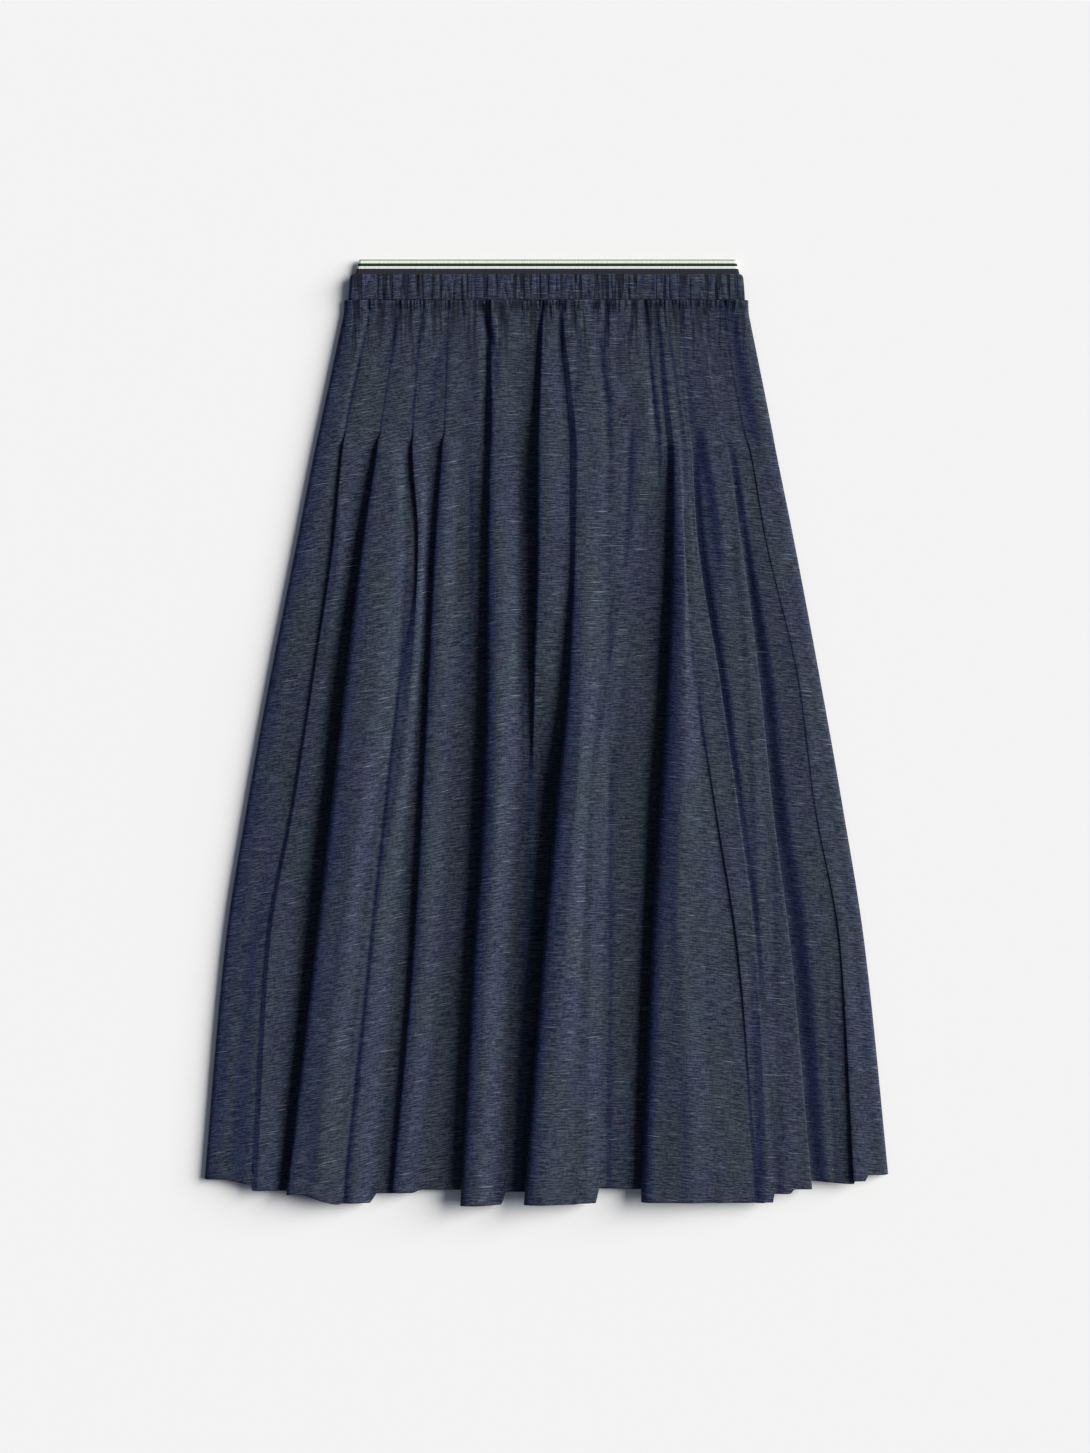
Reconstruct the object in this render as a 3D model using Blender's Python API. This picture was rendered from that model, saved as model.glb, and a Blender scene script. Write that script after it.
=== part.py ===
"""A pleated denim midi skirt, laid flat on its back, with a gathered casing over striped elastic.

Frame: +X to the viewer's right, +Y up the garment to the waist, +Z out of the front. The back lies on Z = 0.
Sizes are in millimetres, and MM turns them into the scene's metres.
"""

import math

import bmesh
import bpy

MM = 0.001

# The cloth
WALL = 1.2
SEAM_GAP = 0.3  # between pieces that are sewn together or lie on each other
MIN_RADIUS = 0.88  # of the middle of the wall, round the tightest fold
HOLD = 1.2  # how far past a fold the cloth keeps its height, to clear it
CLEAR = 0.6  # the least width between a fold and the slope beside it

# Heights up the garment
TOP = 400.0
CASING_TOP = 387.5
WAIST_SEAM = 365.8
STITCHED_TO = 254.0  # the pleats are sewn down from the waist seam to here
HEM_LEVEL = -380.0
HEM_FADE = 200.0  # how far up the hem's scallops are felt

# The fold tables give one value for each of these heights:
# the waist, the end of the stitching, and on to the hem
LEVELS = (356.0, STITCHED_TO, 240.0, 163.0, 44.0, -60.0, -180.0, HEM_LEVEL)

# The side seams at LEVELS, measured from the centre front
LEFT_SIDE = (-171.8, -193.5, -196.5, -211.6, -235.0, -253.8, -272.6, -290.0)
RIGHT_SIDE = (169.6, 190.1, 192.7, 208.2, 230.6, 249.0, 268.1, 288.0)
SIDE_DROP = (-2.0, -7.9)  # of the hem, at the left and the right seam
SIDE_EDGE = 2.2  # of the middle of the back's wall at the side seams, which it curves up to
SIDE_ROLL = (16.0, 8.0)  # width over which the front leaves its left and its right seam
SIDE_NOSE = 2.0  # width of the rounded edge itself
SIDE_QUICK = 0.5  # the share of the rise that this edge takes
SIDE_HIGH = (7.4, 8.8)  # of the cloth beside the left and the right seam
BACK_ROLL = 9.0  # width over which the back curves up to its seams
FRONT_SEAM = SIDE_EDGE + WALL + SEAM_GAP  # of the middle of the front's wall at the side seams

# One row for each fold of the front, from the wearer's right to left.
# opens: the side that the fold's edge faces. x: its edge.
# low, high: the middle of the wall below the fold and on it.
# under: how far the cloth is tucked under the edge, below zero where the fold is an open slope.
# nose: the share of the fold's height that its rounded edge takes.
# broad: how much wider than high that edge is.
# fall: the shares of the way to the next fold between which the cloth comes back down.
# hem: the hem's drop below HEM_LEVEL, below and on the fold.
FRONT_FOLDS = (
    dict(name="left_1", opens="left", x=(-149.1, -170.8, -173.4, -180.8, -198.2, -214.2, -235.0, -246.0),
         low=(6, 6, 6.3, 7, 7.8, 8.4, 9.2, 9.8), high=(6.6, 6.9, 9.2, 9.8, 10.3, 10.7, 11.2, 11.6),
         under=(-1.5, -1, 1.5, 1.5, -1.5, -2.5, -3.5, -4.5), nose=0.5, broad=1.5, fall=(0, 1), hem=(1.8, 7)),
    dict(name="left_2", opens="left", x=(-126.3, -142.5, -144.2, -155.9, -170.3, -182.0, -195.6, -220.5),
         low=(6, 6, 6, 6, 6, 6, 6, 6), high=(6.6, 6.9, 10.5, 15, 20, 20.5, 19, 15.5),
         under=(-1.5, -1, 2, 6, 8, 8, 7, 6), nose=0.38, broad=5.5, fall=(0.3, 1), hem=(7.4, 9.9)),
    dict(name="left_3", opens="left", x=(-105.6, -113.8, -114.4, -109.5, -116.0, -129.5, -147.0, -167.5),
         low=(6, 6, 6, 9.8, 12, 13, 13, 12), high=(6.6, 6.9, 9.5, 12.5, 13.4, 14, 14, 13.2),
         under=(-1.5, -1, 2, 1, -8, -11, -10, -9), nose=0.4, broad=1, fall=(0, 0.58), hem=(18.3, 17.5)),
    dict(name="left_4", opens="left", x=(-84.1, -88.0, -89.3, -95.1, -100.9, -106.4, -113.2, -131.5),
         low=(6, 6, 6, 6, 6, 6, 6, 6), high=(6.6, 6.9, 10, 11.4, 11.8, 11.8, 11.6, 10.8),
         under=(-1.5, -1, 2, 5, 6, 6, 6, 5), nose=0.5, broad=4.6, fall=(0, 0.4), hem=(9.6, 9)),
    dict(name="gather_1", opens="left", x=(-48.6, -48.4, -49.0, -50.6, -51.5, -54.5, -61.9, -73.5),
         low=(6, 6, 6, 6, 6, 6, 6, 6), high=(8, 11, 12, 14.5, 17.5, 19, 19, 18),
         under=(-4, -3, -2, 1, 4, 5, 5, 4), nose=0.7, broad=2.4, fall=(0, 0.76), hem=(6.6, 19.2)),
    dict(name="gather_2", opens="left", x=(-4.2, -8.3, -8.8, -8.8, -11.6, -13.0, -17.3, -25.0),
         low=(6, 6, 6, 6, 6, 6, 6, 6), high=(8, 14, 15.5, 16, 11.5, 6.8, 6.6, 6.6),
         under=(-3, 2, 2.5, 3, 1, -4, -4, -3), nose=0.5, broad=1.5, fall=(0.2, 1), hem=(8.3, 8.3)),
    dict(name="gather_3", opens="left", x=(11.4, 22.4, 23.2, 22.4, 17.7, 7.1, -3.3, -20.0),
         low=(7.5, 10, 11.3, 13, 9, 6, 6, 6), high=(9, 13.5, 14.5, 16, 19.5, 23.5, 24.5, 20.5),
         under=(-3, -5, -5, -4, 1, 5, 6, 5), nose=0.6, broad=3, fall=(0, 1), hem=(8.3, 18.2)),
    dict(name="right_4", opens="right", x=(81.5, 86.0, 84.0, 71.5, 52.0, 40.0, 37.0, 34.0),
         low=(6, 7, 7, 6.8, 7.5, 8.2, 8.2, 7.6), high=(7.5, 8.5, 8.3, 8.9, 11.5, 13, 13, 12),
         under=(-2, -4, -5, -8, -10, -10, -9, -9), nose=0.5, broad=1, fall=(0, 0.8), hem=(6, 17.5)),
    dict(name="gather_4", opens="left", x=(94.2, 103.9, 105.2, 105.1, 101.0, 94.5, 87.7, 79.4),
         low=(6, 6, 6, 6, 6, 6, 6, 6), high=(6.9, 8.5, 10, 15.5, 19.5, 21, 20, 18),
         under=(-2, -4, -4, -2, 1, 2, 1, 0), nose=0.92, broad=2, fall=(0.1, 1), hem=(8.2, 14)),
    dict(name="right_3_ridge", opens="left", x=(101.4, 114.9, 117.0, 119.5, 126.5, 141.0, 160.0, 178.0),
         low=(6.5, 7.3, 8.3, 12.5, 14.4, 12.8, 11.4, 11.2), high=(6.9, 7.5, 8.4, 12.6, 14.7, 13.8, 12.8, 11.9),
         under=(-1, -1.5, -2, -3, -2, -0.5, -0.5, -3), nose=0.4, broad=1.5, fall=(0, 1), hem=(17, 17)),
    dict(name="right_3", opens="right", x=(108.6, 119.5, 121.2, 126.3, 145.0, 159.5, 174.6, 188.0),
         low=(6, 6, 6.2, 6.6, 8.5, 10.3, 10.8, 10.6), high=(6.6, 6.9, 8.2, 11.2, 12.5, 12, 11.5, 11),
         under=(-1.5, -1, -0.5, 1, 1, -0.5, -1, -3), nose=0.5, broad=1, fall=(0, 1), hem=(9.5, 16.6)),
    dict(name="right_2", opens="right", x=(129.7, 146.6, 151.5, 163.0, 179.0, 189.5, 204.8, 223.1),
         low=(6, 6, 6, 6, 6, 6, 6, 6), high=(6.6, 6.9, 8.5, 10, 11, 12, 12, 11.5),
         under=(-1.5, -1, 1, 2, 3, 4, 4, 2), nose=0.5, broad=1, fall=(0.78, 1), hem=(-1, 5.6)),
    dict(name="right_1", opens="left", x=(149.1, 166.8, 171.0, 184.4, 212.0, 225.5, 247.0, 258.2),
         low=(6, 6, 7.4, 9.1, 10.2, 10.6, 10.8, 9.6), high=(6.6, 6.9, 8.3, 9.7, 10.7, 11.2, 12, 13),
         under=(-1.5, -1, -0.5, 0, -0.5, -0.5, -0.5, 1), nose=0.4, broad=1, fall=(0, 1), hem=(1.4, -3.6)),
)
VALLEY_FALL = (0.6, 1.0)  # between two folds that open toward each other
WHOLE_WAY = (0.0, 1.0)
FRONT_ROWS = (WAIST_SEAM - SEAM_GAP / 2, 330, 290, STITCHED_TO, 240, 222, 190, 140, 85, 25,
              -55, -120, -180, -250, -315, HEM_LEVEL)

# The back's folds are pressed flat under the front, with their edges on the surface, one row for each fold
BACK_OUTER = WALL / 2  # the middle of the layer that lies on the surface
BACK_INNER = BACK_OUTER + 3.6  # the middle of the layer that lies highest
BACK_NOSE = 0.5
BACK_FALL = (0.0, 0.35)
BACK_FOLDS = (
    dict(name="left_1", opens="left", x=(-148, -168, -169.7, -179, -193, -208, -224, -240),
         under=(8, 9, 9, 9, 10, 11, 12, 14)),
    dict(name="left_2", opens="left", x=(-126, -142, -143.5, -152, -165, -178, -191, -203),
         under=(8, 9, 9, 9, 10, 11, 12, 14)),
    dict(name="left_3", opens="left", x=(-104, -115, -115.9, -121, -132, -142, -151, -160),
         under=(8, 9, 9, 9, 10, 11, 12, 14)),
    dict(name="left_4", opens="left", x=(-82, -89, -89.6, -93, -100, -106, -112, -118),
         under=(8, 9, 9, 9, 10, 11, 12, 14)),
    dict(name="centre_left", opens="left", x=(-38, -41, -41.3, -43, -46, -49, -52, -55),
         under=(6, 7, 7.3, 9, 12, 14, 15, 18)),
    dict(name="centre_right", opens="right", x=(38, 41, 41.3, 43, 46, 49, 52, 55),
         under=(6, 7, 7.3, 9, 12, 14, 15, 18)),
    dict(name="right_4", opens="right", x=(82, 89, 89.6, 93, 100, 106, 112, 118),
         under=(8, 9, 9, 9, 10, 11, 12, 14)),
    dict(name="right_3", opens="right", x=(104, 115, 115.9, 121, 132, 142, 151, 160),
         under=(8, 9, 9, 9, 10, 11, 12, 14)),
    dict(name="right_2", opens="right", x=(126, 142, 143.5, 152, 165, 178, 191, 203),
         under=(8, 9, 9, 9, 10, 11, 12, 14)),
    dict(name="right_1", opens="right", x=(148, 168, 169.7, 179, 193, 208, 224, 240),
         under=(8, 9, 9, 9, 10, 11, 12, 14)),
)
BACK_ROWS = (WAIST_SEAM - SEAM_GAP / 2, STITCHED_TO, 180, 80, -60, -220, HEM_LEVEL)
BACK_HEM_DROP = 6.0

# The elastic is a flattened ring, and its lower part lies inside the casing
ELASTIC_WALL = 1.6
ELASTIC_BOTTOM = 366.6
ELASTIC_HALF_WIDTHS = ((TOP, 159.4), (CASING_TOP, 162.6), (ELASTIC_BOTTOM, 162.6))
ELASTIC_END_STEPS = 4  # round each of its ends
BACK_CASING_WALL = 2.0
ELASTIC_LOW = BACK_CASING_WALL + SEAM_GAP
ELASTIC_HIGH = ELASTIC_LOW + 2 * ELASTIC_WALL + SEAM_GAP

# The gathered casing
CASING_LEFT = (-167.0, -168.5)  # at its top and at the waist seam
CASING_RIGHT = (165.4, 166.8)
CASING_WALL = 1.2
CASING_LOW = ELASTIC_HIGH + SEAM_GAP
# Across the end of the front casing: the share of the way across, the fullness, and how far it has come up
CASING_END = ((0.0, 0.0, 0.0), (0.002, 0.35, 0.7), (0.011, 0.5, 1.0))
PUCKERS = 42
PUCKERED = (0.026, 0.974)  # the shares of the way across between which the puckers lie
PUCKER_HEIGHT = 1.3
PUCKER_UNEVEN = 0.35  # of its height, from pucker to pucker
PUCKER_DRIFT = 0.14  # of a pucker's pitch, from side to side
PUCKER_SLANT = 0.6
# Across one pucker: the place, in shares of the pitch from its middle, and the share of its height
PUCKER_STEPS = ((-0.22, 0.45), (0.0, 1.0), (0.2, 0.4), (0.42, 0.0))
CASING_FULLNESS = (0.7, 1.0, 0.8)  # at the casing's top, halfway down and at the waist seam

# name: base colour, roughness
MATERIALS = {
    "denim": ((0.032, 0.045, 0.075, 1.0), 0.9),
    "elastic": ((0.62, 0.60, 0.52, 1.0), 0.85),
}

ARC_STEPS = 8  # of the fine curve that a fold's points are read from
FOLD_POINTS = 8  # along a fold
TURN_WEIGHT = 2.5  # millimetres of cloth that count the same as a turn of one radian
SIDE_SHARES = (0.0, 0.06, 0.15, 0.45, 1.0)  # of the roll at a side seam
SLOPE_STEP = 0.5  # over which a slope is measured


def ease(share):
    """A share from 0 to 1, slow at both ends."""
    share = min(max(share, 0.0), 1.0)
    return share * share * (3 - 2 * share)


def mix(first, second, share):
    return first + (second - first) * share


def at_level(values, y):
    """The value at height y of a column given at LEVELS, on a smooth curve that doesn't overshoot."""
    if y >= LEVELS[0]:
        return values[0]
    if y <= LEVELS[-1]:
        return values[-1]
    last = len(LEVELS) - 1
    step = next(i for i in range(last) if y >= LEVELS[i + 1])

    def rise(i):
        return (values[i + 1] - values[i]) / (LEVELS[i + 1] - LEVELS[i])

    def slope(i):
        before = rise(max(i - 1, 0))
        after = rise(min(i, last - 1))
        if before * after <= 0:
            return 0.0
        return 2 * before * after / (before + after)

    width = LEVELS[step + 1] - LEVELS[step]
    t = (y - LEVELS[step]) / width
    return (values[step] * (1 + 2 * t) * (1 - t) ** 2
            + values[step + 1] * t * t * (3 - 2 * t)
            + slope(step) * width * t * (1 - t) ** 2
            - slope(step + 1) * width * t * t * (1 - t))


def tuck(angle, height, radii):
    """How far a fold is tucked under where its middle run leans at this angle, and that run's length."""
    run = (height - radii * (1 - math.cos(angle))) / math.sin(angle)
    return radii * (1 - math.sin(angle)) - run * math.cos(angle), run


def lean(height, radii, under):
    """The angle of the middle run that gives a fold this tuck."""
    flat = math.radians(1)
    steep = math.acos(max(1 - height / radii, -0.999999))
    for _ in range(40):
        angle = (flat + steep) / 2
        if tuck(angle, height, radii)[0] < under:
            flat = angle
        else:
            steep = angle
    return angle


def s_curve(height, inner, nose, broad, under):
    """Fine points (x, z, direction) of a fold, from its lower cloth to its upper, with its edge at 0."""
    angle = lean(height, inner + nose, under)
    run = max(tuck(angle, height, inner + nose)[1], 0.0)
    points = []
    for i in range(ARC_STEPS + 1):
        a = angle * i / ARC_STEPS
        points.append((inner * math.sin(a), inner * (1 - math.cos(a)), a))
    x = points[-1][0] + run * math.cos(angle)
    z = points[-1][1] + run * math.sin(angle)
    turned = angle
    for i in range(ARC_STEPS + 1):
        a = angle * (1 - i / ARC_STEPS)
        wide = 1 if turned > math.pi / 2 else broad
        x += wide * nose * (math.sin(turned) - math.sin(a))
        z += nose * (math.cos(a) - math.cos(turned))
        points.append((x, z, math.atan2(math.sin(a), wide * math.cos(a))))
        turned = a
    shift = nose * broad - points[-1][0]
    return [(x + shift, z, a) for x, z, a in points]


def spread(points, count):
    """This many points read from a fine curve, closer together where it turns."""
    reach = [0.0]
    for (x0, z0, a0), (x1, z1, a1) in zip(points, points[1:]):
        reach.append(reach[-1] + math.hypot(x1 - x0, z1 - z0) + TURN_WEIGHT * abs(a1 - a0))
    chosen = []
    for k in range(count):
        goal = reach[-1] * k / (count - 1)
        i = next((n for n in range(len(points) - 2) if reach[n + 1] >= goal), len(points) - 2)
        share = (goal - reach[i]) / max(reach[i + 1] - reach[i], 1e-9)
        chosen.append(tuple(mix(a, b, share) for a, b in zip(points[i], points[i + 1])))
    return chosen


def fold_points(fold, y, drop):
    """Points (x, z, direction, hem drop) of the wall's middle across a fold at height y, from left to right."""
    low = at_level(fold["low"], y)
    high = at_level(fold["high"], y)
    height = abs(high - low)
    up = math.copysign(1, high - low)
    nose = max(0.49 * height * fold["nose"], MIN_RADIUS)
    inner = max(0.49 * height * (1 - fold["nose"]), MIN_RADIUS)
    curve = spread(s_curve(height, inner, nose, fold["broad"], at_level(fold["under"], y)), FOLD_POINTS)
    edge = at_level(fold["x"], y)
    side = 1 if fold["opens"] == "left" else -1
    points = []
    for x, z, a in curve:
        points.append((edge + side * x, low + up * z, side * up * a, mix(*drop, z / height)))
    return points if side > 0 else points[::-1]


def cleared(fold, y, ahead):
    """Where the cloth beside a fold may leave its height, on the side ahead of it or behind it."""
    edge = at_level(fold["x"], y)
    reach = max(at_level(fold["under"], y), 0.0) + HOLD
    if ahead:
        return edge + (reach if fold["opens"] == "left" else HOLD)
    return edge - (HOLD if fold["opens"] == "left" else reach)


def span_points(start, end, x_start, x_end, fall):
    """Points between two folds: level up to x_start and from x_end, with an even slope between them."""
    x_start = max(x_start, start[0] + CLEAR)
    x_end = min(x_end, end[0] - CLEAR)
    if start[1] > end[1]:
        x_start, x_end = mix(x_start, x_end, fall[0]), mix(x_start, x_end, fall[1])
    else:
        x_start, x_end = mix(x_end, x_start, fall[1]), mix(x_end, x_start, fall[0])
    slope = math.atan2(1.5 * (end[1] - start[1]), x_end - x_start)
    middle = tuple(mix(a, b, 0.5) for a, b in zip(start, end))
    return [(x_start, start[1], 0.0, start[3]),
            (mix(x_start, x_end, 0.5), middle[1], slope, middle[3]),
            (x_end, end[1], 0.0, end[3])]


def side_rise(away, roll):
    """The share of its rise that the cloth has made this far from a side seam."""
    slow = math.sin(min(away / roll, 1.0) * math.pi / 2)
    quick = math.sin(min(away / SIDE_NOSE, 1.0) * math.pi / 2)
    return mix(slow, quick, SIDE_QUICK)


def side_points(side, z_seam, z_inner, roll, drop):
    """Points from a side seam to the level of the cloth beside it, from left to right."""
    points = []
    toward = -math.copysign(1, side)
    rise = z_inner - z_seam
    for share in SIDE_SHARES:
        away = share * roll
        made = side_rise(away, roll)
        steep = (side_rise(away + SLOPE_STEP, roll) - made) / SLOPE_STEP
        points.append((side + toward * away, z_seam + rise * made, toward * math.atan(rise * steep), drop))
    return points if toward > 0 else points[::-1]


def fall_between(before, fold):
    """The shares of the way between two folds over which the cloth comes down from the higher one."""
    if fold["opens"] == "right":
        return fold["fall"]
    if before is None:
        return WHOLE_WAY
    return VALLEY_FALL if before["opens"] == "right" else before["fall"]


def section(folds, y, z_seam, z_inner, rolls):
    """Points (x, z, direction, hem drop) of a panel's middle at height y, from its left seam to its right."""
    pieces = [fold_points(fold, y, fold["hem"]) for fold in folds]
    points = side_points(at_level(LEFT_SIDE, y), z_seam, z_inner[0], rolls[0], SIDE_DROP[0])
    start_x = points[-1][0] + CLEAR
    before = None
    for fold, piece in zip(folds, pieces):
        end_x = cleared(fold, y, ahead=False)
        points += span_points(points[-1], piece[0], start_x, end_x, fall_between(before, fold))
        points += piece
        start_x = cleared(fold, y, ahead=True)
        before = fold
    right = side_points(at_level(RIGHT_SIDE, y), z_seam, z_inner[1], rolls[1], SIDE_DROP[1])
    points += span_points(points[-1], right[0], start_x, right[0][0] - CLEAR, WHOLE_WAY)
    return points + right


def wall_mesh(name, rows):
    """A closed wall with one row of (outer point, inner point) pairs for each section of it."""
    mesh = bpy.data.meshes.new(name)
    build = bmesh.new()
    outer = [[build.verts.new([c * MM for c in pair[0]]) for pair in row] for row in rows]
    inner = [[build.verts.new([c * MM for c in pair[1]]) for pair in row] for row in rows]
    last_row, last = len(rows) - 1, len(rows[0]) - 1
    for r in range(last_row):
        for c in range(last):
            build.faces.new((outer[r][c], outer[r + 1][c], outer[r + 1][c + 1], outer[r][c + 1]))
            build.faces.new((inner[r][c], inner[r][c + 1], inner[r + 1][c + 1], inner[r + 1][c]))
        for c, turn in ((0, 1), (last, -1)):
            build.faces.new((outer[r][c], inner[r][c], inner[r + 1][c], outer[r + 1][c])[::turn])
    for c in range(last):
        for r, turn in ((0, 1), (last_row, -1)):
            build.faces.new((outer[r][c], outer[r][c + 1], inner[r][c + 1], inner[r][c])[::turn])
    bmesh.ops.triangulate(build, faces=build.faces[:], quad_method="FIXED")
    build.to_mesh(mesh)
    build.free()
    mesh.shade_smooth()
    mesh.set_sharp_from_angle(angle=math.radians(40))
    return mesh


def panel_rows(folds, heights, z_seam, z_inner, rolls):
    """The wall's two surfaces at each height.

    z_seam: the height of the wall's middle at its side seams.
    z_inner, rolls: its height beside the left and the right seam, and how far from the seam it reaches that.
    """
    rows = []
    for y in heights:
        felt = ease((HEM_LEVEL + HEM_FADE - y) / HEM_FADE)
        row = []
        for x, z, a, drop in section(folds, y, z_seam, z_inner, rolls):
            off_x = -math.sin(a) * WALL / 2
            off_z = math.cos(a) * WALL / 2
            height = y - drop * felt
            row.append(((x + off_x, height, z + off_z), (x - off_x, height, z - off_z)))
        rows.append(row)
    return rows


def make_material(name):
    colour, roughness = MATERIALS[name]
    material = bpy.data.materials.new(name)
    material.use_nodes = True
    shader = material.node_tree.nodes["Principled BSDF"]
    shader.inputs["Base Color"].default_value = colour
    shader.inputs["Roughness"].default_value = roughness
    shader.inputs["Metallic"].default_value = 0.0
    return material


def add_object(name, mesh, material):
    mesh.materials.append(material)
    thing = bpy.data.objects.new(name, mesh)
    bpy.context.scene.collection.objects.link(thing)
    return thing


def front_panel(material):
    rows = panel_rows(FRONT_FOLDS, FRONT_ROWS, FRONT_SEAM, SIDE_HIGH, SIDE_ROLL)
    return add_object("front_panel", wall_mesh("front_panel", rows), material)


def back_panel(material):
    level = len(LEVELS)
    folds = []
    for row in BACK_FOLDS:
        folds.append(dict(row, low=(BACK_INNER,) * level, high=(BACK_OUTER,) * level, nose=BACK_NOSE, broad=1,
                          fall=BACK_FALL, hem=(BACK_HEM_DROP, BACK_HEM_DROP)))
    rows = panel_rows(folds, BACK_ROWS, SIDE_EDGE, (BACK_OUTER, BACK_OUTER), (BACK_ROLL, BACK_ROLL))
    return add_object("back_panel", wall_mesh("back_panel", rows), material)


def front_casing(material):
    """The front of the casing, puckered on its outer side, with ends that come down to the back's."""
    seam = BACK_CASING_WALL + SEAM_GAP
    columns = [(share, full, mix(seam, CASING_LOW, up)) for share, full, up in CASING_END]
    for k in range(PUCKERS):
        centre = k + 0.5 + PUCKER_DRIFT * math.sin(2.1 * k)
        height = PUCKER_HEIGHT * (1 + PUCKER_UNEVEN * math.sin(1.7 * k + 1))
        for step, part in PUCKER_STEPS:
            columns.append((mix(*PUCKERED, (centre + step) / PUCKERS), part * height, CASING_LOW))
    ends = len(CASING_END)
    columns += [(1 - share, height, z) for share, height, z in columns[ends - 1::-1]]
    rows = []
    for n, fullness in enumerate(CASING_FULLNESS):
        down = n / (len(CASING_FULLNESS) - 1)
        left, right = mix(*CASING_LEFT, down), mix(*CASING_RIGHT, down)
        y = mix(CASING_TOP, WAIST_SEAM + SEAM_GAP / 2, down)
        row = []
        for i, (share, height, z) in enumerate(columns):
            x = mix(left, right, share)
            if ends <= i < len(columns) - ends:
                x += PUCKER_SLANT * math.sin(0.9 * i) * down
            row.append(((x, y, z + CASING_WALL + height * fullness), (x, y, z)))
        rows.append(row)
    return add_object("front_casing", wall_mesh("front_casing", rows), material)


def back_casing(material):
    """The back of the casing, flat on the surface."""
    rows = []
    for y, left, right in ((CASING_TOP, CASING_LEFT[0], CASING_RIGHT[0]),
                           (WAIST_SEAM + SEAM_GAP / 2, CASING_LEFT[1], CASING_RIGHT[1])):
        rows.append([((x, y, BACK_CASING_WALL), (x, y, 0.0)) for x in (left, mix(left, right, 0.5), right)])
    return add_object("back_casing", wall_mesh("back_casing", rows), material)


def elastic_band(material):
    """The elastic, a ring pressed flat, so that its front lies on its back."""
    mesh = bpy.data.meshes.new("elastic_band")
    build = bmesh.new()
    middle = (ELASTIC_LOW + ELASTIC_HIGH) / 2
    rings = []
    for y, half in ELASTIC_HALF_WIDTHS:
        for radius in ((ELASTIC_HIGH - ELASTIC_LOW) / 2, SEAM_GAP / 2):
            ring = []
            for side in (1, -1):
                for step in range(ELASTIC_END_STEPS + 1):
                    turn = math.pi * (step / ELASTIC_END_STEPS - 0.5)
                    x = half - (ELASTIC_HIGH - ELASTIC_LOW) / 2 + radius * math.cos(turn)
                    ring.append((side * x, y, middle + side * radius * math.sin(turn)))
            rings.append([build.verts.new([c * MM for c in point]) for point in ring])
    outer, inner = rings[0::2], rings[1::2]
    count = len(outer[0])
    for n in range(count):
        m = (n + 1) % count
        for k in range(len(outer) - 1):
            build.faces.new((outer[k][n], outer[k][m], outer[k + 1][m], outer[k + 1][n]))
            build.faces.new((inner[k][n], inner[k + 1][n], inner[k + 1][m], inner[k][m]))
        build.faces.new((outer[0][n], inner[0][n], inner[0][m], outer[0][m]))
        build.faces.new((outer[-1][n], outer[-1][m], inner[-1][m], inner[-1][n]))
    build.to_mesh(mesh)
    build.free()
    mesh.shade_smooth()
    mesh.set_sharp_from_angle(angle=math.radians(50))
    return add_object("elastic_band", mesh, material)


def main():
    for thing in list(bpy.data.objects):
        bpy.data.objects.remove(thing)
    denim = make_material("denim")
    elastic = make_material("elastic")
    front_panel(denim)
    back_panel(denim)
    front_casing(denim)
    back_casing(denim)
    elastic_band(elastic)


main()
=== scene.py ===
"""The looks of a pleated denim midi skirt that lies flat on its back, seen from straight above.

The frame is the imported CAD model: +X to the viewer's right, +Y up the garment to the waist, +Z up off
the surface. The tables follow the CAD's own, in millimetres, and MM turns them into the scene's metres.
"""

import math
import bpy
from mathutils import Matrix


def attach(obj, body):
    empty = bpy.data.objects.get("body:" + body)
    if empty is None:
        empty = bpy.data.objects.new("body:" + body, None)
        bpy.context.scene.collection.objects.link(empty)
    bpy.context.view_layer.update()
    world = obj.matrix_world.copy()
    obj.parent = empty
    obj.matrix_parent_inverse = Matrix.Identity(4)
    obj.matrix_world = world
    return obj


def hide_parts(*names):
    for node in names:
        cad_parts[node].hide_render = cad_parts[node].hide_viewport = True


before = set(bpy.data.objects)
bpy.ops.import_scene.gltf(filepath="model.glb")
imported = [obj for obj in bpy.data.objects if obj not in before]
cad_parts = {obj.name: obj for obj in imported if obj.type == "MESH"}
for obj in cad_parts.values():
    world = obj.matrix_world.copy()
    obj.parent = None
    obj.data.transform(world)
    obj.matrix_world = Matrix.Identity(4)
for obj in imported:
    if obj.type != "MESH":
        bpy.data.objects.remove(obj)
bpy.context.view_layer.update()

import bpy
from mathutils import Vector
from mathutils.bvhtree import BVHTree

MM = 0.001

# The cloth
WALL = 0.7
SEAM_GAP = 0.3  # between pieces that are sewn together or lie on each other
MIN_RADIUS = 0.5  # of the middle of the wall, round the tightest bend
HOLD = 0.9  # how far past a fold the cloth keeps its height, to clear it

# Heights up the garment
CASING_TOP = 387.5
WAIST_SEAM = 365.8
STITCHED_TO = 254.0
HEM_LEVEL = -380.0
HEM_FADE = 200.0  # how far up the hem's scallops are felt

# The fold tables give one value for each of these heights
LEVELS = (356.0, STITCHED_TO, 240.0, 163.0, 44.0, -60.0, -180.0, HEM_LEVEL)

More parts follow.
